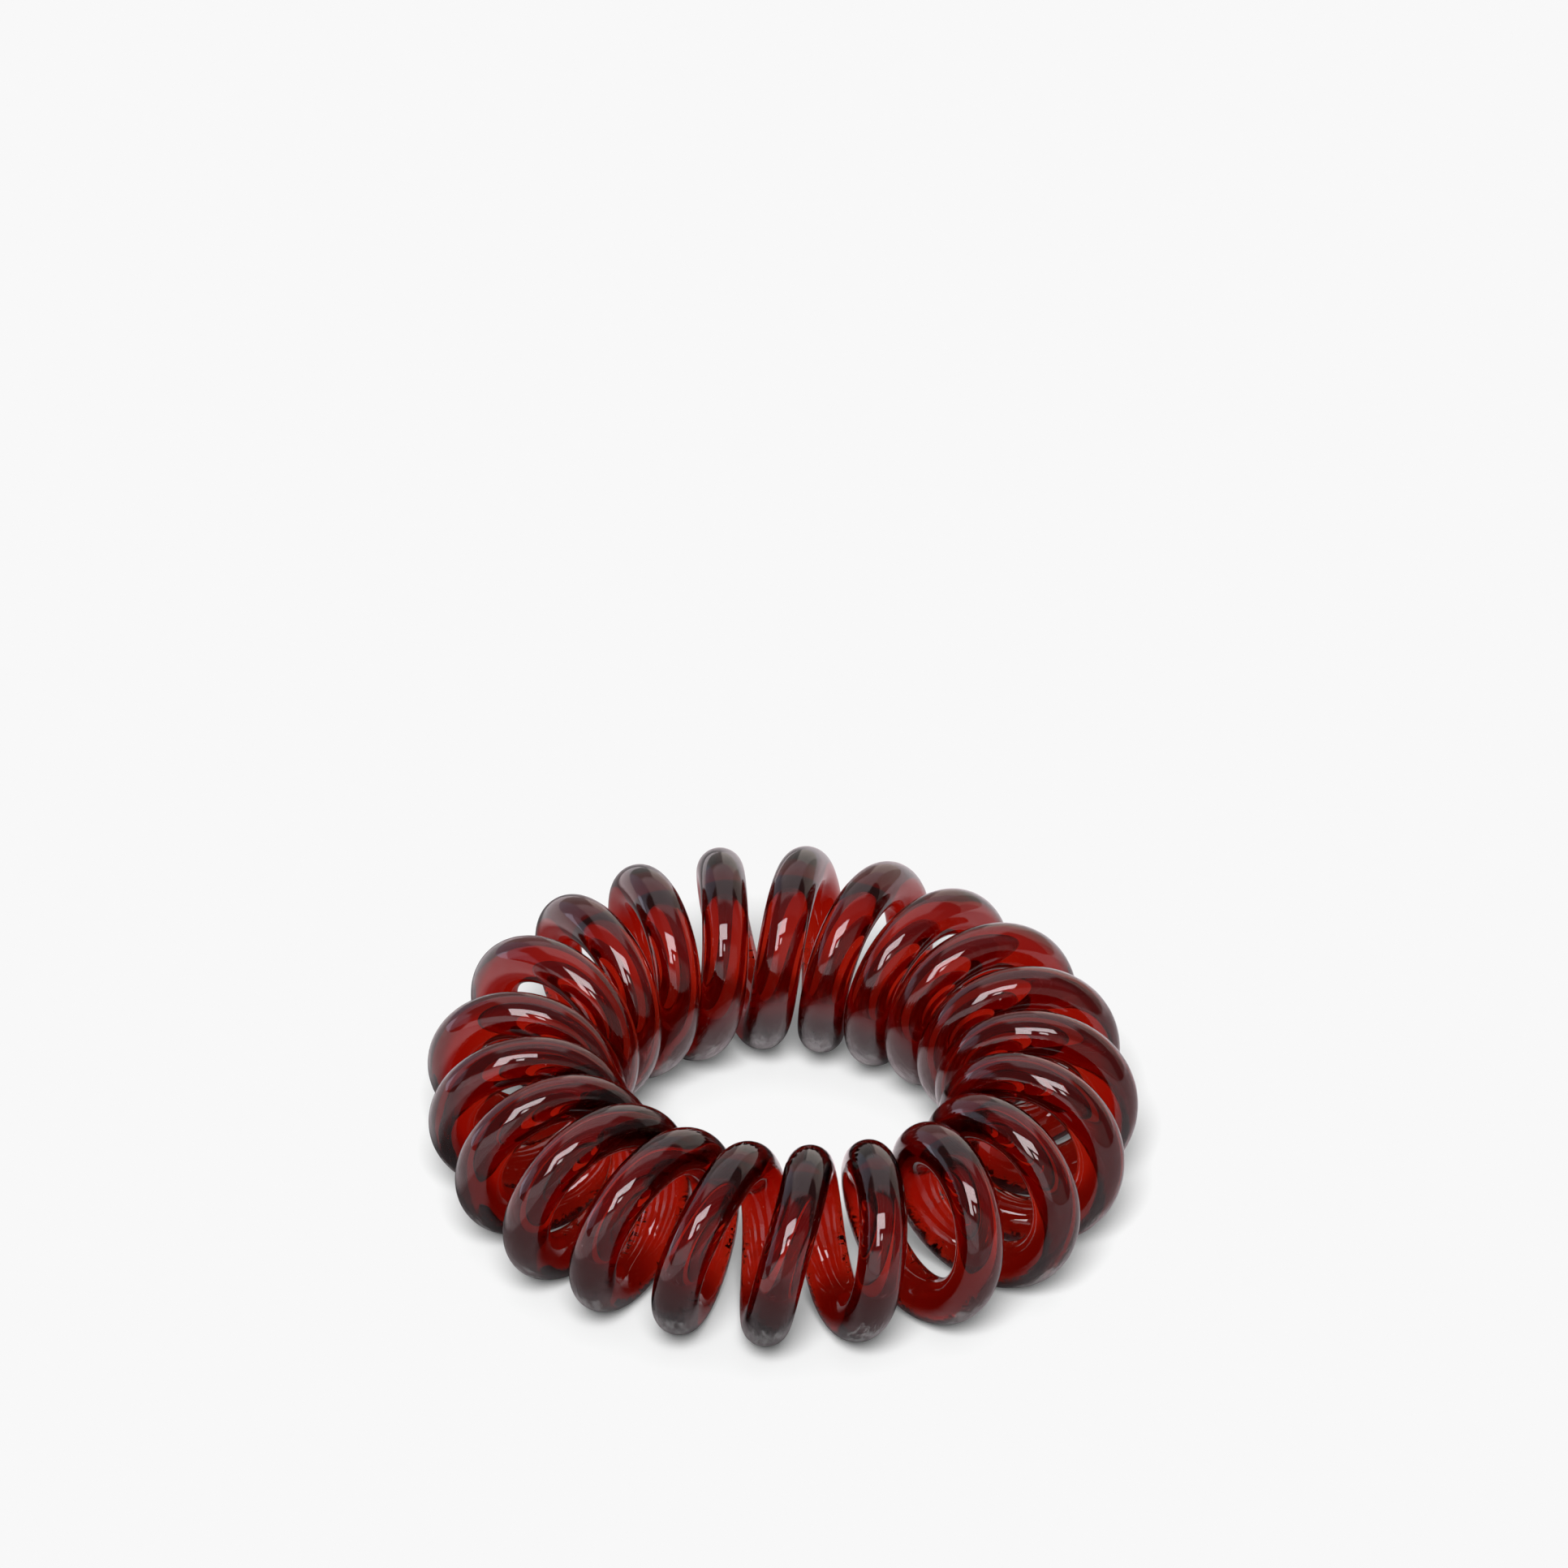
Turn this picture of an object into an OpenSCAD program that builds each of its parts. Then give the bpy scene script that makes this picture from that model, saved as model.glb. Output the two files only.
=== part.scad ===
// Spiral hair tie: one round strand wound into a coil, with the coil closed on itself as a ring.
// It lies flat by itself. The origin is the ring's centre on the surface under it, +Z is up,
// and -Y is the front. Lengths are in millimetres. The ring angle runs counter-clockwise from +X
// seen from above, and the coil angle runs from 0 at the coil's outer side over its top at 90.

/* [Ring] */
// Radius of the ring, from its centre to the middle of the coil
ring_r = 14.4; // [12:0.1:20]

/* [Coil] */
// Radius of the coil, from its middle to the middle of the strand
turn_r = 4.3; // [3.4:0.1:5.2]

/* [Strand] */
// Thickness of the strand
strand_d = 2.66; // [2:0.02:3.2]

/* [Hidden] */

strand_r = strand_d / 2;

// Room each turn takes along the ring's inner side, where turns lie closest, in thicknesses
turn_room = 1.13;
turns = floor(2 * PI * (ring_r - turn_r) / (strand_d * turn_room));
pitch = 360 / turns;

// Ring angle at the top of the first turn
first_turn = 275.5;

// Flat sides round the strand, and sections along each turn
strand_sides = 12;
turn_sections = 22;

// How each turn lies, by hand, because the turns of a used tie are never quite even. Each row is
// one turn: [[top, inner, bottom, outer], [out, size]].
// top: how far the turn's top lies from its even place round the ring, as a share of the pitch
// inner, bottom, outer: how far the strand has gone on from there at the coil's inner side, at
// its bottom and at its outer side, as shares of the pitch
// out: how far the turn stands out from the ring's centre, as a share of turn_r
// size: how much wider than turn_r the turn is, as a share of turn_r
TURN_TABLE = [
  [[ 0.00, 0.36, 0.47, 0.66], [-0.06,  0.00]],
  [[-0.04, 0.34, 0.54, 0.75], [-0.02, -0.02]],
  [[-0.05, 0.32, 0.64, 0.79], [ 0.13,  0.00]],
  [[-0.11, 0.35, 0.67, 0.86], [ 0.14,  0.00]],
  [[-0.06, 0.35, 0.67, 0.83], [ 0.08,  0.00]],
  [[-0.07, 0.35, 0.70, 0.86], [ 0.02,  0.00]],
  [[-0.05, 0.32, 0.64, 0.84], [-0.05,  0.00]],
  [[ 0.00, 0.32, 0.64, 0.81], [-0.09,  0.01]],
  [[-0.01, 0.32, 0.64, 0.80], [-0.13,  0.02]],
  [[-0.05, 0.35, 0.64, 0.83], [-0.13,  0.05]],
  [[-0.03, 0.35, 0.61, 0.81], [-0.05,  0.05]],
  [[-0.03, 0.44, 0.73, 0.80], [-0.08,  0.07]],
  [[-0.04, 0.44, 0.70, 0.71], [-0.07,  0.07]],
  [[-0.05, 0.49, 0.72, 0.78], [-0.03,  0.05]],
  [[-0.06, 0.47, 0.71, 1.00], [-0.05,  0.05]],
  [[ 0.08, 0.29, 0.55, 0.80], [ 0.02,  0.02]],
  [[ 0.07, 0.26, 0.51, 0.79], [-0.04,  0.02]],
  [[ 0.06, 0.23, 0.49, 0.78], [-0.06,  0.03]],
  [[ 0.08, 0.24, 0.40, 0.62], [-0.04,  0.06]],
  [[ 0.02, 0.35, 0.44, 0.61], [-0.09,  0.03]],
  [[ 0.01, 0.35, 0.44, 0.62], [-0.10,  0.01]]
];

// Coil angle at a turn's top, where the turns are counted from
top_angle = 90;

function unit(v) = v / norm(v);

// Row of the table for turn k, counted on round and round the ring
function turn_row(k) =
  let (round_k = k - turns * floor(k / turns))
  TURN_TABLE[floor(round_k * len(TURN_TABLE) / turns)];

// Turns an even coil has made at a coil angle. It gains more ring angle on its inner side,
// which lies nearer to the ring's centre.
function turns_made(coil_angle) =
  let (
    k = floor((coil_angle + 180) / 360),
    half = (coil_angle - 360 * k) / 2,
    bend = turn_r / ring_r
  )
  k + atan2(sqrt(1 - bend) * sin(half), sqrt(1 + bend) * cos(half)) / 180;

// Smooth curve through knots a, b, c and d, each [place, value], at a place between b and c
function smooth(a, b, c, d, place) =
  let (
    span = c.x - b.x,
    u = (place - b.x) / span,
    rise_b = span * (c.y - a.y) / (c.x - a.x),
    rise_c = span * (d.y - b.y) / (d.x - b.x)
  )
  b.y * (2 * u ^ 3 - 3 * u ^ 2 + 1) + rise_b * (u ^ 3 - 2 * u ^ 2 + u)
  + c.y * (3 * u ^ 2 - 2 * u ^ 3) + rise_c * (u ^ 3 - u ^ 2);

// Knot j of the strand's way round the ring. Each turn has four: top, inner side, bottom and
// outer side.
function ring_knot(j) =
  let (
    k = floor(j / 4),
    part = j - 4 * k,
    shares = turn_row(k)[0],
    gone_on = part == 0 ? 0 : shares[part]
  )
  [turns_made(360 * k + top_angle + 90 * part), first_turn + pitch * (k + shares[0] + gone_on)];

// Ring angle of the strand at a coil angle
function ring_angle(coil_angle) =
  let (j = floor((coil_angle - top_angle) / 90))
  smooth(ring_knot(j - 1), ring_knot(j), ring_knot(j + 1), ring_knot(j + 2),
    turns_made(coil_angle));

// [out, size] at a coil angle, passing smoothly from each turn's top to the next
function turn_form(coil_angle) =
  let (
    k = floor((coil_angle - top_angle) / 360),
    knots = [for (i = [k - 1 : k + 2]) [turns_made(360 * i + top_angle), turn_row(i)[1]]]
  )
  smooth(knots[0], knots[1], knots[2], knots[3], turns_made(coil_angle));

// Middle of the strand. The bottom of every turn rests on the surface, whatever its size.
function strand_middle(coil_angle) =
  let (
    form = turn_form(coil_angle),
    coil_r = turn_r * (1 + form.y),
    reach = ring_r + turn_r * form.x + coil_r * cos(coil_angle),
    angle = ring_angle(coil_angle)
  )
  [reach * cos(angle), reach * sin(angle), strand_r + coil_r * (1 + sin(coil_angle))];

// The strand's outline square to its way, with its first corner facing out from the coil
function strand_outline(coil_angle) =
  let (
    middle = strand_middle(coil_angle),
    way = unit(strand_middle(coil_angle + 1) - strand_middle(coil_angle - 1)),
    angle = ring_angle(coil_angle),
    from_coil = [cos(coil_angle) * cos(angle), cos(coil_angle) * sin(angle), sin(coil_angle)],
    side = unit(cross(way, from_coil)),
    out = cross(side, way)
  )
  [
    for (i = [0 : strand_sides - 1])
      let (a = 360 * i / strand_sides)
      middle + strand_r * (cos(a) * out + sin(a) * side)
  ];

// The whole strand: its last section joins its first
module spiral_strand() {
  sections = turns * turn_sections;
  points = [
    for (s = [0 : sections - 1])
      each strand_outline(top_angle + 360 * s / turn_sections)
  ];
  faces = [
    for (s = [0 : sections - 1], i = [0 : strand_sides - 1])
      let (
        here = s * strand_sides,
        next = ((s + 1) % sections) * strand_sides,
        i_next = (i + 1) % strand_sides
      )
      each [
        [here + i, next + i, next + i_next],
        [here + i, next + i_next, here + i_next]
      ]
  ];
  color("#4a1719") polyhedron(points, faces, convexity = 10);
}

spiral_strand();
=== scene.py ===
"""Looks of a spiral hair tie that lies flat on a pale table, in metres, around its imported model."""
import math

import bmesh
import bpy
import numpy as np
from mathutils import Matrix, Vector


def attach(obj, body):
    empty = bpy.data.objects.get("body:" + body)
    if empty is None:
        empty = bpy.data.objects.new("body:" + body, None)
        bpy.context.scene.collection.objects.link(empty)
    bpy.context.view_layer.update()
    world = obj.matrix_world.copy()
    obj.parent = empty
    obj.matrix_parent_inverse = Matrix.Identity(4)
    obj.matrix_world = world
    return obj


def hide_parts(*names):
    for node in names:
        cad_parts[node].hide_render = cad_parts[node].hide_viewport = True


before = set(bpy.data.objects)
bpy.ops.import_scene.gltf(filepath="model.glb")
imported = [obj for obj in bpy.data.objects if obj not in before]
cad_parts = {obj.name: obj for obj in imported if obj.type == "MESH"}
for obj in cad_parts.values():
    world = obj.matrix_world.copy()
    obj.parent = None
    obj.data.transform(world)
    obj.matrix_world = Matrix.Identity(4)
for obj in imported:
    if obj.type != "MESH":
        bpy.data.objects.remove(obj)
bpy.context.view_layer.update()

# The strand: one round strand of clear, dark red polyurethane, drawn from a die, wound round a
# mandrel, heat set as a coil, and welded end to end so that the coil closes on itself as a ring.
# The coil lies a little uneven, as the turns of a used tie do.
MM = 0.001
RING_R = 14.4 * MM       # from the ring's centre to the middle of the coil
TURN_R = 4.3 * MM        # from the coil's middle to the middle of the strand
STRAND_R = 1.33 * MM
FIRST_TURN = 275.5       # ring angle at the first turn's top, in degrees from +X
SECTIONS = 100           # along one turn
SIDES = 44               # round the strand

# How each turn lies: its top's shift from its even place, how far the strand has gone on from
# there by the coil's inner side, its bottom and its outer side, all as shares of the even pitch,
# and how far the turn stands out and how much wider it is, as shares of TURN_R.
TURN_TABLE = np.array([
    [0.00, 0.36, 0.47, 0.66, -0.06, 0.00],
    [-0.04, 0.34, 0.54, 0.75, -0.02, -0.02],
    [-0.05, 0.32, 0.64, 0.79, 0.13, 0.00],
    [-0.11, 0.35, 0.67, 0.86, 0.14, 0.00],
    [-0.06, 0.35, 0.67, 0.83, 0.08, 0.00],
    [-0.07, 0.35, 0.70, 0.86, 0.02, 0.00],
    [-0.05, 0.32, 0.64, 0.84, -0.05, 0.00],
    [0.00, 0.32, 0.64, 0.81, -0.09, 0.01],
    [-0.01, 0.32, 0.64, 0.80, -0.13, 0.02],
    [-0.05, 0.35, 0.64, 0.83, -0.13, 0.05],
    [-0.03, 0.35, 0.61, 0.81, -0.05, 0.05],
    [-0.03, 0.44, 0.73, 0.80, -0.08, 0.07],
    [-0.04, 0.44, 0.70, 0.71, -0.07, 0.07],
    [-0.05, 0.49, 0.72, 0.78, -0.03, 0.05],
    [-0.06, 0.47, 0.71, 1.00, -0.05, 0.05],
    [0.08, 0.29, 0.55, 0.80, 0.02, 0.02],
    [0.07, 0.26, 0.51, 0.79, -0.04, 0.02],
    [0.06, 0.23, 0.49, 0.78, -0.06, 0.03],
    [0.08, 0.24, 0.40, 0.62, -0.04, 0.06],
    [0.02, 0.35, 0.44, 0.61, -0.09, 0.03],
    [0.01, 0.35, 0.44, 0.62, -0.10, 0.01],
])
TURNS = len(TURN_TABLE)
PITCH = 360.0 / TURNS
TOP_ANGLE = 90.0         # coil angle at a turn's top: 0 is the coil's outer side


def turns_made(coil_angle):
    """Turns that an even coil has made at a coil angle in degrees. With b = TURN_R / RING_R and h
    half the angle past the last whole turn, it is the whole turns plus
    atan(sqrt((1 - b) / (1 + b)) * tan(h)) / 180: the way round is shorter on the inner side."""
    whole = np.floor((coil_angle + 180) / 360)
    half = np.radians(coil_angle - 360 * whole) / 2
    bend = TURN_R / RING_R
    partly = np.arctan2(math.sqrt(1 - bend) * np.sin(half), math.sqrt(1 + bend) * np.cos(half))
    return whole + partly / math.pi


def smooth(places, values, at):
    """Smooth curve through the knots (places, values). Between two knots it is the cubic whose
    slope at each knot is the slope of the line between that knot's two neighbours."""
    i = np.clip(np.searchsorted(places, at, side="right") - 1, 1, len(places) - 3)
    span = places[i + 1] - places[i]
    u = (at - places[i]) / span
    rise_in = span * (values[i + 1] - values[i - 1]) / (places[i + 1] - places[i - 1])
    rise_out = span * (values[i + 2] - values[i]) / (places[i + 2] - places[i])
    return (values[i] * (2 * u**3 - 3 * u**2 + 1) + rise_in * (u**3 - 2 * u**2 + u)
            + values[i + 1] * (3 * u**2 - 2 * u**3) + rise_out * (u**3 - u**2))


def strand_middle(coil_angle):
    """Middle of the strand at a coil angle t: at ring angle p it is (r cos p, r sin p, z), with
    r = ring radius + out + a cos t and z = strand radius + a (1 + sin t), a the coil's radius
    there. So the bottom of every turn rests on z = 0. Gives the way out from the coil too."""
    k = np.arange(-2, TURNS + 2)
    rows = TURN_TABLE[k % TURNS]
    tops = 360.0 * k + TOP_ANGLE
    places = turns_made(np.stack([tops, tops + 90, tops + 180, tops + 270], axis=1).ravel())
    shares = k[:, None] + np.hstack([rows[:, :1], rows[:, :1] + rows[:, 1:4]])
    at = turns_made(coil_angle)
    p = np.radians(smooth(places, FIRST_TURN + PITCH * shares.ravel(), at))
    out = TURN_R * smooth(turns_made(tops), rows[:, 4], at)
    a = TURN_R * (1 + smooth(turns_made(tops), rows[:, 5], at))
    t = np.radians(coil_angle)
    r = RING_R + out + a * np.cos(t)
    middle = np.stack([r * np.cos(p), r * np.sin(p), STRAND_R + a * (1 + np.sin(t))], axis=1)
    from_coil = np.stack([np.cos(t) * np.cos(p), np.cos(t) * np.sin(p), np.sin(t)], axis=1)
    return middle, from_coil


def strand_surface():
    """Grid of points on the strand, sections by sides: middle + STRAND_R (cos b * out + sin b *
    side), where side is square to the strand's way and to the line out from the coil."""
    coil_angle = TOP_ANGLE + 360.0 * np.arange(TURNS * SECTIONS) / SECTIONS
    middle, from_coil = strand_middle(coil_angle)
    half_section = 180.0 / SECTIONS
    way = strand_middle(coil_angle + half_section)[0] - strand_middle(coil_angle - half_section)[0]
    way /= np.linalg.norm(way, axis=1, keepdims=True)
    side = np.cross(way, from_coil)
    side /= np.linalg.norm(side, axis=1, keepdims=True)
    out = np.cross(side, way)
    b = 2 * math.pi * np.arange(SIDES) / SIDES
    return (middle[:, None] + STRAND_R * (np.cos(b)[None, :, None] * out[:, None]
                                          + np.sin(b)[None, :, None] * side[:, None]))


def new_object(name, data):
    """A new object in the scene, at the origin, that shows a mesh, a light or a camera."""
    obj = bpy.data.objects.new(name, data)
    bpy.context.scene.collection.objects.link(obj)
    return obj


def closed_tube(name, grid):
    """Mesh object of a tube that closes on itself: quad (s, i) joins sections s and s + 1 and
    sides i and i + 1, both counted round. Each corner keeps its place on the strand in
    millimetres, (way along, radius times cos b, radius times sin b), with b the angle round."""
    sections, sides = grid.shape[:2]
    s, i = np.meshgrid(np.arange(sections), np.arange(sides), indexing="ij")
    s_next = (s + 1) % sections
    i_next = (i + 1) % sides
    quads = np.stack([s * sides + i, s * sides + i_next,
                      s_next * sides + i_next, s_next * sides + i], axis=-1).reshape(-1, 4)
    mesh = bpy.data.meshes.new(name)
    mesh.vertices.add(sections * sides)
    mesh.vertices.foreach_set("co", grid.reshape(-1))
    mesh.loops.add(quads.size)
    mesh.loops.foreach_set("vertex_index", quads.reshape(-1))
    mesh.polygons.add(len(quads))
    mesh.polygons.foreach_set("loop_start", np.arange(0, quads.size, 4))
    mesh.update(calc_edges=True)
    mesh.polygons.foreach_set("use_smooth", np.ones(len(quads), dtype=bool))
    middle = grid.mean(axis=1)
    steps = np.linalg.norm(np.roll(middle, -1, axis=0) - middle, axis=1) / MM
    along = np.concatenate([[0.0], np.cumsum(steps)])
    b = 2 * math.pi * np.arange(sides + 1) / sides
    outward, sideward = STRAND_R / MM * np.cos(b), STRAND_R / MM * np.sin(b)
    corners = [np.stack([along[s + ds], outward[i + di], sideward[i + di]], axis=-1)
               for ds, di in ((0, 0), (0, 1), (1, 1), (1, 0))]
    place = mesh.attributes.new("strand_place", "FLOAT_VECTOR", "CORNER")
    place.data.foreach_set("vector", np.stack(corners, axis=2).reshape(-1))
    return new_object(name, mesh)


def linear(hex_colour):
    """Linear RGBA of an sRGB hex colour: ((c + 0.055) / 1.055) ** 2.4 of each share above
    0.04045, and c / 12.92 below."""
    shares = [int(hex_colour[i:i + 2], 16) / 255 for i in (1, 3, 5)]
    return [c / 12.92 if c <= 0.04045 else ((c + 0.055) / 1.055) ** 2.4 for c in shares] + [1.0]


def add(tree, kind, *settings):
    """Adds one node. A setting is (name, value): an input, by its name or number, takes a value
    or the socket that feeds it, and any other name is the node's own property."""
    node = tree.nodes.new(kind)
    for name, value in settings:
        if not isinstance(name, int) and name not in node.inputs:
            setattr(node, name, value)
        elif isinstance(value, bpy.types.NodeSocket):
            tree.links.new(value, node.inputs[name])
        else:
            node.inputs[name].default_value = value
    return node


def new_material(name):
    """A material with an empty node tree, and that tree."""
    material = bpy.data.materials.new(name)
    material.use_nodes = True
    material.node_tree.nodes.clear()
    return material, material.node_tree


# Noise on the strand. Heat setting leaves a ripple every 4 mm. The die lines are drawn coarser
# than real ones, so that they show.
#  name, how many to the millimetre, stretch along the strand, detail, roughness
STRAND_NOISE = [
    ("ripples", 0.25, 1.0, 1.0, 0.5),
    ("die_lines", 2.2, 0.03, 2.0, 0.5),
    ("scuffs", 3.2, 0.45, 3.0, 0.65),
]
RIPPLE_DEPTH = 0.10 * MM
DIE_LINE_DEPTH = 0.004 * MM
SCUFF_DEPTH = 0.10 * MM


def clear_polyurethane():
    """Thermoplastic polyurethane, drawn and glossy: dark red right through, so it is blood red
    where light crosses one strand and nearly black where it crosses several. Heat setting leaves
    it faintly rippled, the die leaves fine lines along it, and wear scuffs it where it lies."""
    material, tree = new_material("clear_polyurethane")
    way = add(tree, "ShaderNodeAttribute", ("attribute_name", "strand_place")).outputs["Vector"]
    place = add(tree, "ShaderNodeTexCoord").outputs["Object"]
    facing = add(tree, "ShaderNodeNewGeometry").outputs["Normal"]
    noise = {}
    for name, per_mm, stretch, detail, roughness in STRAND_NOISE:
        stretched = add(tree, "ShaderNodeVectorMath", ("operation", "MULTIPLY"),
                        (0, way), (1, (stretch, 1.0, 1.0)))
        noise[name] = add(tree, "ShaderNodeTexNoise", ("Vector", stretched.outputs["Vector"]),
                          ("Scale", per_mm), ("Detail", detail),
                          ("Roughness", roughness)).outputs["Fac"]

    # Scuffs lie low down, off the very underside, and on the coil's outer side.
    scuffed = noise["scuffs"]
    for vector, axis, bare, worn in ((place, "Z", 5.8 * MM, 2.6 * MM), (facing, "Z", -0.90, -0.76),
                                     (way, "Y", 0.3, 1.1)):
        across = add(tree, "ShaderNodeSeparateXYZ", ("Vector", vector)).outputs[axis]
        share = add(tree, "ShaderNodeMapRange", ("interpolation_type", "SMOOTHSTEP"),
                    ("Value", across), ("From Min", bare), ("From Max", worn)).outputs["Result"]
        scuffed = add(tree, "ShaderNodeMath", ("operation", "MULTIPLY"),
                      (0, scuffed), (1, share)).outputs["Value"]
    # Where it is worn, the surface scatters a tenth of the light and lets the rest through.
    clear = add(tree, "ShaderNodeMapRange", ("Value", scuffed), ("From Min", 0.42),
                ("From Max", 0.56), ("To Min", 1.0), ("To Max", 0.89)).outputs["Result"]

    relief = facing
    for height, depth in ((noise["ripples"], RIPPLE_DEPTH), (noise["die_lines"], DIE_LINE_DEPTH),
                          (scuffed, SCUFF_DEPTH)):
        relief = add(tree, "ShaderNodeBump", ("Height", height), ("Distance", depth),
                     ("Normal", relief)).outputs["Normal"]
    strand = add(tree, "ShaderNodeBsdfPrincipled", ("Base Color", linear("#FFFFFF")),
                 ("Roughness", 0.01), ("IOR", 1.5), ("Transmission Weight", clear),
                 ("Normal", relief))
    # The dye takes half of the red light in 1.9 mm, and half of the green in 0.4 mm.
    dye = add(tree, "ShaderNodeVolumeAbsorption", ("Color", linear("#EC7C00")),
              ("Density", 2300.0))
    add(tree, "ShaderNodeOutputMaterial", ("Surface", strand.outputs["BSDF"]),
        ("Volume", dye.outputs["Volume"]))
    return material


strand = closed_tube("spiral_strand_smooth", strand_surface())
strand.data.materials.append(clear_polyurethane())
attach(strand, "root")
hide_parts("spiral_strand")

# The table: a sheet of matt white studio paper under the tie. It isn't part of the object. The
# photo's background is a cut-out, brighter than the paper was, so two dimmer sheets take its
# place in the strand: one is seen through it, and the other is mirrored on it. Both carry painted
# light and shade: the one seen through glows with no lamp on it, and the mirrored one is painted
# lighter and darker by place.
TABLE_SIDE = 3.0
TABLE_DROP = 0.01 * MM   # keeps the highest sheet off the strand, and the others off that sheet
# Kinds of ray that an object can be hidden from
RAYS = ("camera", "diffuse", "glossy", "transmission", "shadow")

# Painted light and shade of the glowing sheet that is seen through the strand, which no lamp lights:
# (mm from the ring's centre, light).
THROUGH_LIGHT = [(9.0, 0.72), (13.0, 0.31), (18.0, 0.31), (22.0, 0.70)]
THROUGH_REACH = 40.0     # mm from the ring's centre to the end of the colour ramp

# Painted light and shade of the sheet that is mirrored on the strand, as ramps over the table:
# the first two are multiplied, and the lightest of that and of the others counts. The lamps
# light it too.
#  name: along, shape, start and end in mm, painted light at the start and at the end
MIRRORED_RAMPS = {
    "left_to_right": ("X", "LINEAR", -22.0, 22.0, 0.14, 0.72),
    "behind": ("Y", "LINEAR", 22.0, 40.0, 1.0, 1.6),
    "in_front": ("Y", "SMOOTHSTEP", -14.0, 0.0, 0.45, 0.0),
    "far_left": ("X", "SMOOTHSTEP", -20.0, -27.0, 0.0, 1.0),
    "open_middle": ("radius", "SMOOTHSTEP", 10.5, 13.0, 1.0, 0.0),
}
CONTACT_SHADE_REACH = 2.0 * MM     # how far from a turn's contact the painted shade on the mirrored sheet reaches


def to_stage(name, mesh, material, *rays):
    """Adds a mesh with its material to the scene as an object that only these kinds of ray see."""
    mesh.materials.append(material)
    piece = new_object(name, mesh)
    for ray in RAYS:
        setattr(piece, "visible_" + ray, ray in rays)


def sheet_mesh(name, drop):
    """A square as wide as the table, a drop below z = 0."""
    half = TABLE_SIDE / 2
    mesh = bpy.data.meshes.new(name)
    mesh.from_pydata([(-half, -half, -drop), (half, -half, -drop), (half, half, -drop),
                      (-half, half, -drop)], [], [(0, 1, 2, 3)])
    return mesh


def matt_paper():
    """Uncoated white paper: flat and pale, with the tie's soft shadow on it."""
    material, tree = new_material("matt_paper")
    face = add(tree, "ShaderNodeBsdfDiffuse", ("Color", linear("#E7E7E7")))
    add(tree, "ShaderNodeOutputMaterial", ("Surface", face.outputs["BSDF"]))
    return material


def painted_light_paper_through():
    """The same paper as the strand lets it through, as painted light: it glows with no lamp on it,
    bright in the ring's open middle and outside the ring, and dimmer in a painted shade under the
    coil."""
    material, tree = new_material("painted_light_paper_through")
    place = add(tree, "ShaderNodeTexCoord").outputs["Object"]
    radius = add(tree, "ShaderNodeVectorMath", ("operation", "LENGTH"), (0, place))
    share = add(tree, "ShaderNodeMapRange", ("Value", radius.outputs["Value"]),
                ("From Max", THROUGH_REACH * MM))
    shade = add(tree, "ShaderNodeValToRGB", ("Fac", share.outputs["Result"]))
    stops = shade.color_ramp
    stops.interpolation = "EASE"
    for mm_out, light in THROUGH_LIGHT:
        stops.elements.new(mm_out / THROUGH_REACH).color = (light, light, light, 1.0)
    stops.elements.remove(stops.elements[0])
    stops.elements.remove(stops.elements[-1])
    # Painted light and shade: the ramp glows brighter or dimmer by distance from the ring's centre.
    face = add(tree, "ShaderNodeEmission", ("Color", shade.outputs["Color"]))
    add(tree, "ShaderNodeOutputMaterial", ("Surface", face.outputs["Emission"]))
    material.cycles.emission_sampling = "NONE"
    return material


def painted_light_paper_mirrored():
    """The same paper as the strand mirrors it: a faint rose grey with painted light and shade on it,
    white in the ring's open middle, lighter and darker by place, and a painted shade where a turn
    touches it."""
    material, tree = new_material("painted_light_paper_mirrored")
    place = add(tree, "ShaderNodeTexCoord").outputs["Object"]
    axes = add(tree, "ShaderNodeSeparateXYZ", ("Vector", place)).outputs
    radius = add(tree, "ShaderNodeVectorMath", ("operation", "LENGTH"), (0, place))
    along = {"X": axes["X"], "Y": axes["Y"], "radius": radius.outputs["Value"]}
    ramps = {name: add(tree, "ShaderNodeMapRange", ("interpolation_type", shape),
                       ("Value", along[axis]), ("From Min", start * MM), ("From Max", end * MM),
                       ("To Min", light_at_start), ("To Max", light_at_end)).outputs["Result"]
             for name, (axis, shape, start, end, light_at_start, light_at_end) in MIRRORED_RAMPS.items()}
    # Painted light and shade by place over the table, multiplied into the paper's colour.
    painted_light_and_shade = add(tree, "ShaderNodeMath", ("operation", "MULTIPLY"),
                    (0, ramps["left_to_right"]), (1, ramps["behind"])).outputs["Value"]
    for name in ("in_front", "far_left", "open_middle"):
        painted_light_and_shade = add(tree, "ShaderNodeMath", ("operation", "MAXIMUM"),
                        (0, painted_light_and_shade), (1, ramps[name])).outputs["Value"]
    tinted = add(tree, "ShaderNodeVectorMath", ("operation", "SCALE"),
                 (0, linear("#FFF2F6")[:3]), ("Scale", painted_light_and_shade))
    # Painted contact shade: ambient occlusion darkens the paper's colour near the turns.
    contact = add(tree, "ShaderNodeAmbientOcclusion", ("Color", tinted.outputs["Vector"]),
                  ("Distance", CONTACT_SHADE_REACH), ("samples", 4))
    face = add(tree, "ShaderNodeBsdfDiffuse", ("Color", contact.outputs["Color"]))
    add(tree, "ShaderNodeOutputMaterial", ("Surface", face.outputs["BSDF"]))
    return material


to_stage("table_paper", sheet_mesh("table_paper", 2 * TABLE_DROP), matt_paper(),
         "camera", "diffuse")
to_stage("table_through", sheet_mesh("table_through", 2 * TABLE_DROP), painted_light_paper_through(),
         "transmission")
to_stage("table_mirrored", sheet_mesh("table_mirrored", TABLE_DROP), painted_light_paper_mirrored(),
         "glossy")

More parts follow.
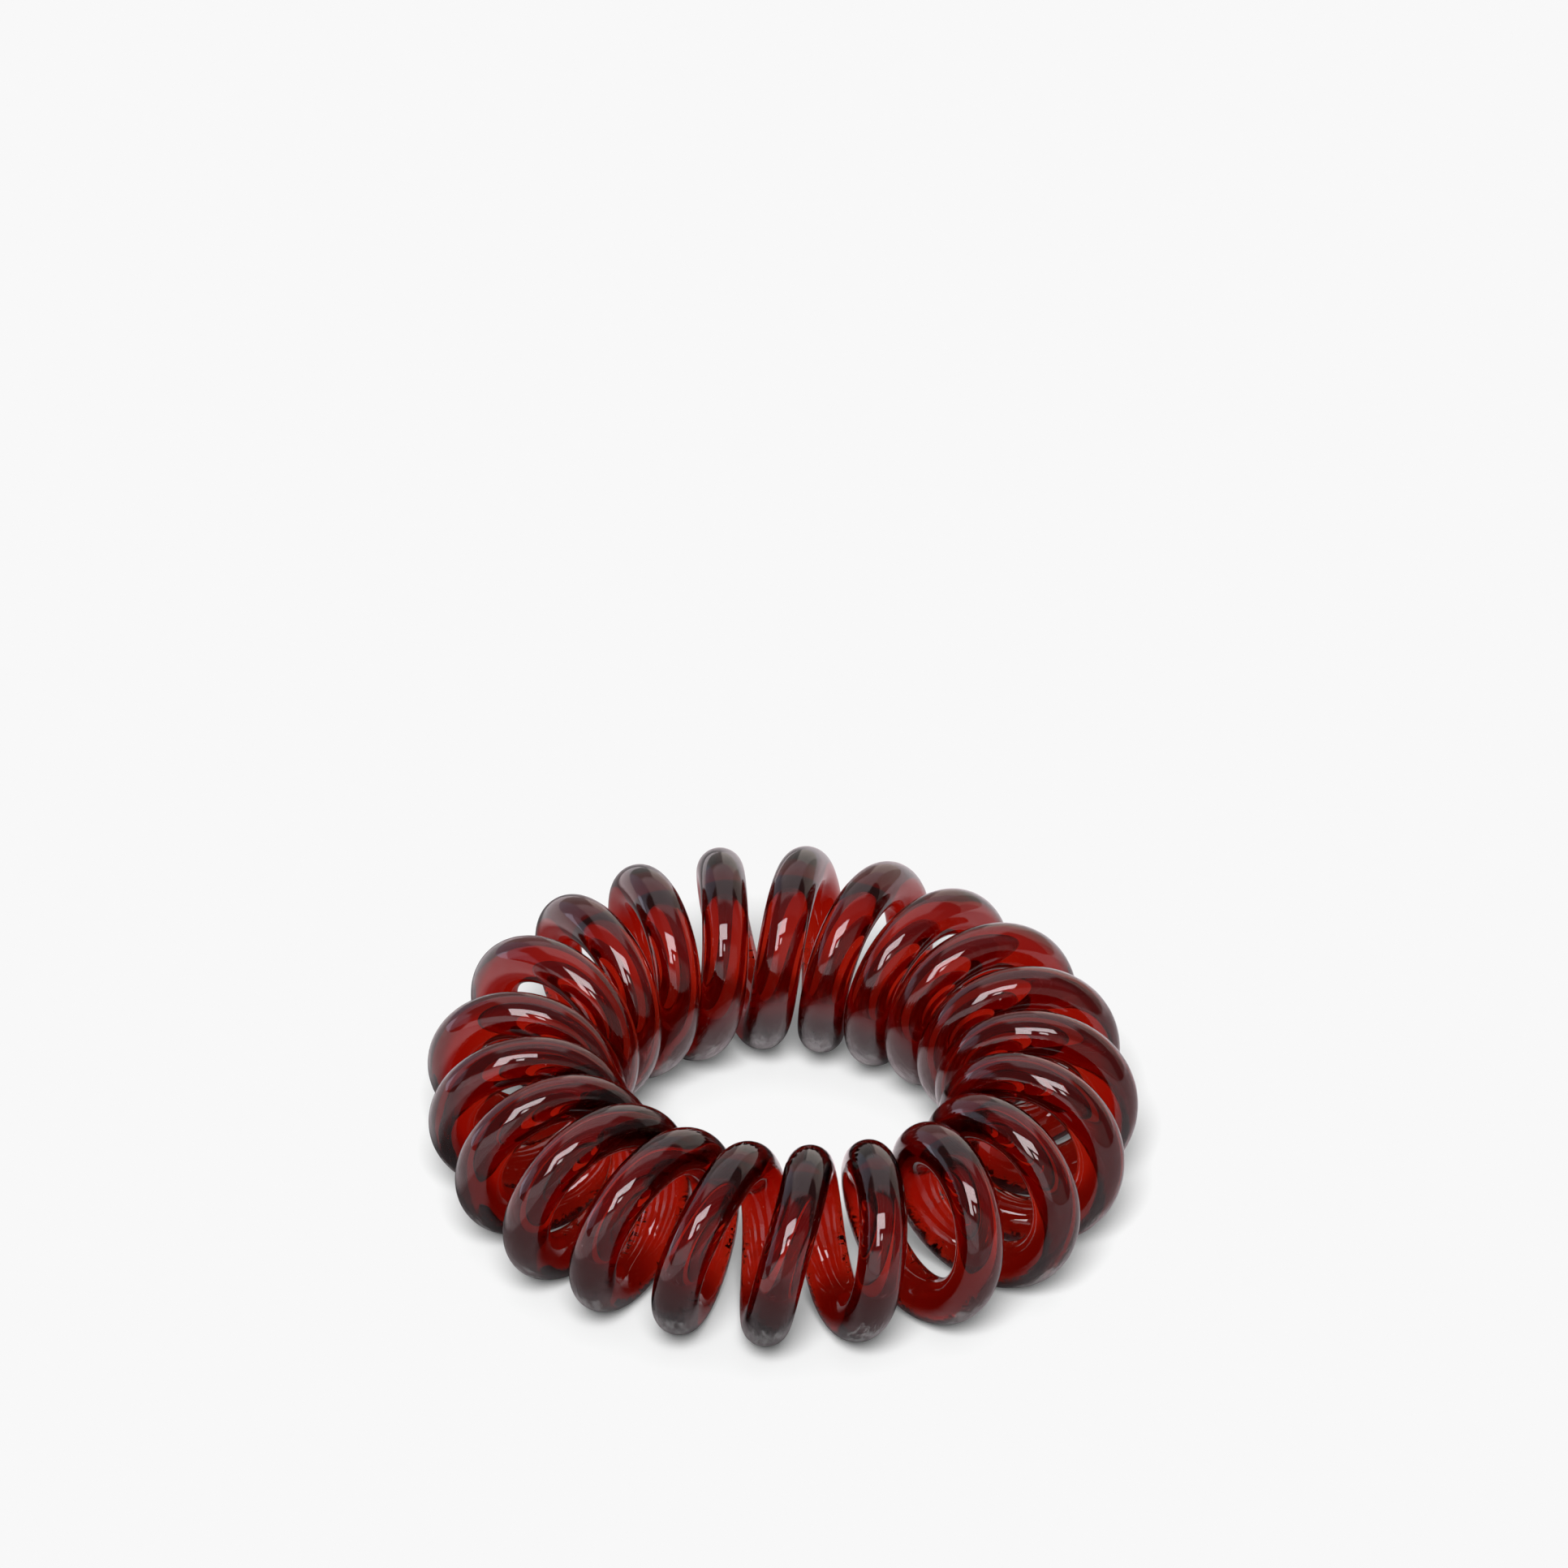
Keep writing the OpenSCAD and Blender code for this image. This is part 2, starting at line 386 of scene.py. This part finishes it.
# The room: a dim dome round the table, seen only through the strand, where it keeps the edges of
# the turns dark. It isn't part of the object.
ROOM_R = 1.4


def dim_room_through():
    """Unlit walls, far off: a dim even grey."""
    material, tree = new_material("dim_room_through")
    face = add(tree, "ShaderNodeEmission", ("Color", linear("#595959")))
    add(tree, "ShaderNodeOutputMaterial", ("Surface", face.outputs["Emission"]))
    material.cycles.emission_sampling = "NONE"
    return material


room_mesh = bpy.data.meshes.new("room_through")
dome = bmesh.new()
bmesh.ops.create_icosphere(dome, subdivisions=3, radius=ROOM_R)
dome.to_mesh(room_mesh)
dome.free()
to_stage("room_through", room_mesh, dim_room_through(), "transmission")

# The light: the studio that the strand mirrors, with a soft window high in front and to the left,
# a white sweep behind, and walls, a ceiling and white cards round the tie.
SKY_BASE = ("#FFE9E9", 0.16)     # colour and strength of the light that comes from everywhere

# Patches of the sky between two heights and two sideways angles, in degrees. Height 0 is the
# horizon in front (-Y), 90 is straight up, 180 the horizon behind and 270 straight down. The
# sideways angle is 0 in the middle, and above 0 to the right (+X).
#  name, height from, to, sideways from, to, soft edge, strength, colour
SKY_PATCHES = [
    ("window_top", 51, 68, -29, 8, 1, 11.0, "#FFF2F5"),
    ("window_side", 34, 51, -29, -16, 1, 11.0, "#FFF2F5"),
    ("window_corner", 39, 46, -9, -2, 1, 12.0, "#FFF6F8"),
    ("sweep", 96, 150, -31, 31, 8, 1.05, "#FFF2F6"),
    ("sweep_foot_right", 150, 190, 0, 31, 4, 1.2, "#FFF2EA"),
    ("sweep_foot_left", 150, 190, -31, 0, 4, 0.35, "#FFF6F2"),
    ("left_wall", 85, 150, -99, -62, 6, 0.9, "#E4E8FF"),
    ("left_wall_foot", 150, 190, -99, -62, 6, 2.4, "#E4E8FF"),
    ("left_panel_foot", 150, 190, -62, -31, 6, 0.6, "#E4E8FF"),
    ("ceiling", 70, 98, -31, 60, 8, 0.14, "#FFF0F6"),
    ("left_panel", 122, 150, -62, -31, 6, 0.6, "#E4E8FF"),
    ("left_low", 28, 85, -99, -64, 6, 0.6, "#EEE4FF"),
    ("right_panel", 125, 182, 31, 64, 6, 0.75, "#FFF0E6"),
    ("right_wall", 125, 182, 64, 99, 6, 0.4, "#FFF2EC"),
    ("front_card", 0, 28, -62, -6, 6, 1.4, "#FFF4F8"),
    ("front_card_right", 0, 45, -6, 60, 8, 0.35, "#FFF2EC"),
]
LOWEST_HEIGHT, HIGHEST_HEIGHT = -30.0, 330.0     # where the heights start again
TO_DEGREES = 180 / math.pi

world = bpy.data.worlds.new("studio")
bpy.context.scene.world = world
world.use_nodes = True
sky = world.node_tree
sky.nodes.clear()


def between(value, low, high, edge):
    """1 where low < value < high, falling smoothly to 0 over the edge on each side."""
    rise, fall = [
        add(sky, "ShaderNodeMapRange", ("interpolation_type", "SMOOTHSTEP"), ("Value", value),
            ("From Min", limit - edge / 2), ("From Max", limit + edge / 2),
            ("To Min", before), ("To Max", after)).outputs["Result"]
        for limit, before, after in ((low, 0.0, 1.0), (high, 1.0, 0.0))]
    return add(sky, "ShaderNodeMath", ("operation", "MULTIPLY"), (0, rise), (1, fall)).outputs[0]


direction = add(sky, "ShaderNodeTexCoord").outputs["Generated"]
axes = add(sky, "ShaderNodeSeparateXYZ", ("Vector", direction)).outputs
forward = add(sky, "ShaderNodeMath", ("operation", "MULTIPLY"), (0, axes["Y"]), (1, -1.0))
upward = add(sky, "ShaderNodeMath", ("operation", "ARCTAN2"),
             (0, axes["Z"]), (1, forward.outputs[0]))
degrees_up = add(sky, "ShaderNodeMath", ("operation", "MULTIPLY"),
                 (0, upward.outputs[0]), (1, TO_DEGREES))
height = add(sky, "ShaderNodeMath", ("operation", "WRAP"), (0, degrees_up.outputs[0]),
             (1, HIGHEST_HEIGHT), (2, LOWEST_HEIGHT)).outputs[0]
sideways = add(sky, "ShaderNodeMath", ("operation", "ARCSINE"), (0, axes["X"]))
aside = add(sky, "ShaderNodeMath", ("operation", "MULTIPLY"),
            (0, sideways.outputs[0]), (1, TO_DEGREES)).outputs[0]
base_light = [share * SKY_BASE[1] for share in linear(SKY_BASE[0])[:3]]
light = add(sky, "ShaderNodeCombineXYZ", *zip("XYZ", base_light)).outputs["Vector"]
for name, low, high, left, right, edge, strength, colour in SKY_PATCHES:
    inside = add(sky, "ShaderNodeMath", ("operation", "MULTIPLY"),
                 (0, between(height, low, high, edge)), (1, between(aside, left, right, edge)))
    level = add(sky, "ShaderNodeMath", ("operation", "MULTIPLY"),
                (0, inside.outputs[0]), (1, strength))
    patch = add(sky, "ShaderNodeVectorMath", ("name", name), ("operation", "SCALE"),
                (0, linear(colour)[:3]), ("Scale", level.outputs[0]))
    light = add(sky, "ShaderNodeVectorMath", ("operation", "ADD"),
                (0, light), (1, patch.outputs["Vector"])).outputs["Vector"]
sky_light = add(sky, "ShaderNodeBackground", ("Color", light))
add(sky, "ShaderNodeOutputWorld", ("Surface", sky_light.outputs["Background"]))
world.cycles.sampling_method = "MANUAL"
world.cycles.sample_map_resolution = 1024
world.cycles_visibility.diffuse = False
world.cycles_visibility.transmission = False


def paper_light(name, height, sideways, spread, strength, shadow=True):
    """A far soft light that falls on the paper alone, since the strand shows the sky instead. It
    shines from (sin s, -cos s cos h, cos s sin h) for a height h and a sideways angle s."""
    data = bpy.data.lights.new(name, "SUN")
    data.angle = math.radians(spread)
    data.energy = strength
    data.use_shadow = shadow
    lamp = new_object(name, data)
    h, s = math.radians(height), math.radians(sideways)
    place = Vector((math.sin(s), -math.cos(s) * math.cos(h), math.cos(s) * math.sin(h)))
    lamp.location = place
    lamp.rotation_euler = place.to_track_quat("Z", "Y").to_euler()
    lamp.visible_glossy = False
    lamp.visible_transmission = False


paper_light("front_light", height=50, sideways=-3, spread=26, strength=3.6)
paper_light("top_light", height=92, sideways=0, spread=80, strength=0.8)
paper_light("paper_glow", height=90, sideways=0, spread=20, strength=0.5, shadow=False)

# The camera: in front, looking down on the tie from far off, so that the ring shows as the photo
# has it. Its shift puts the ring's centre low in the frame.
PHOTO_SIDE = 1932        # pixels
CAMERA_HEIGHT = 36.2     # degrees above the table
CAMERA_FAR = 677 * MM    # from the ring's centre
FOCAL_PX = 14781         # focal length in the photo's pixels
CENTRE_PX = (962.0, 1350.2)     # where the ring's centre shows in the photo
SENSOR_MM = 36.0
CAMERA_SIGHT = 10.0      # metres
camera_data = bpy.data.cameras.new("camera")
camera = new_object("camera", camera_data)
rise = math.radians(CAMERA_HEIGHT)
camera.location = (0.0, -CAMERA_FAR * math.cos(rise),
                   TURN_R + STRAND_R + CAMERA_FAR * math.sin(rise))
camera.rotation_euler = (math.pi / 2 - rise, 0.0, 0.0)
camera_data.sensor_width = SENSOR_MM
camera_data.lens = SENSOR_MM * FOCAL_PX / PHOTO_SIDE
camera_data.shift_x = (PHOTO_SIDE / 2 - CENTRE_PX[0]) / PHOTO_SIDE
camera_data.shift_y = (CENTRE_PX[1] - PHOTO_SIDE / 2) / PHOTO_SIDE
camera_data.clip_end = CAMERA_SIGHT

# The picture: its curve stops at the photo's background level, so that the paper is as flat and
# pale. Light crosses many faces in the coil, so it may bend 24 times.
WHITE_STOP = 0.939
ALL_CHANNELS = 3         # number of the curve that holds for red, green and blue alike
scene = bpy.context.scene
scene.camera = camera
scene.view_settings.view_transform = "Standard"
scene.view_settings.look = "None"
scene.view_settings.use_curve_mapping = True
curves = scene.view_settings.curve_mapping
curves.use_clip = False
curves.extend = "HORIZONTAL"
tone = curves.curves[ALL_CHANNELS]
tone.points[0].location = (0.0, 0.0)
tone.points[1].location = (WHITE_STOP, WHITE_STOP)
tone.points.new(1.0, WHITE_STOP)
for point in tone.points:
    point.handle_type = "VECTOR"
curves.update()
scene.cycles.max_bounces = 24
scene.cycles.transmission_bounces = 24
scene.cycles.glossy_bounces = 8
scene.cycles.diffuse_bounces = 3
scene.cycles.caustics_reflective = False
scene.cycles.caustics_refractive = False
scene.cycles.use_denoising = True
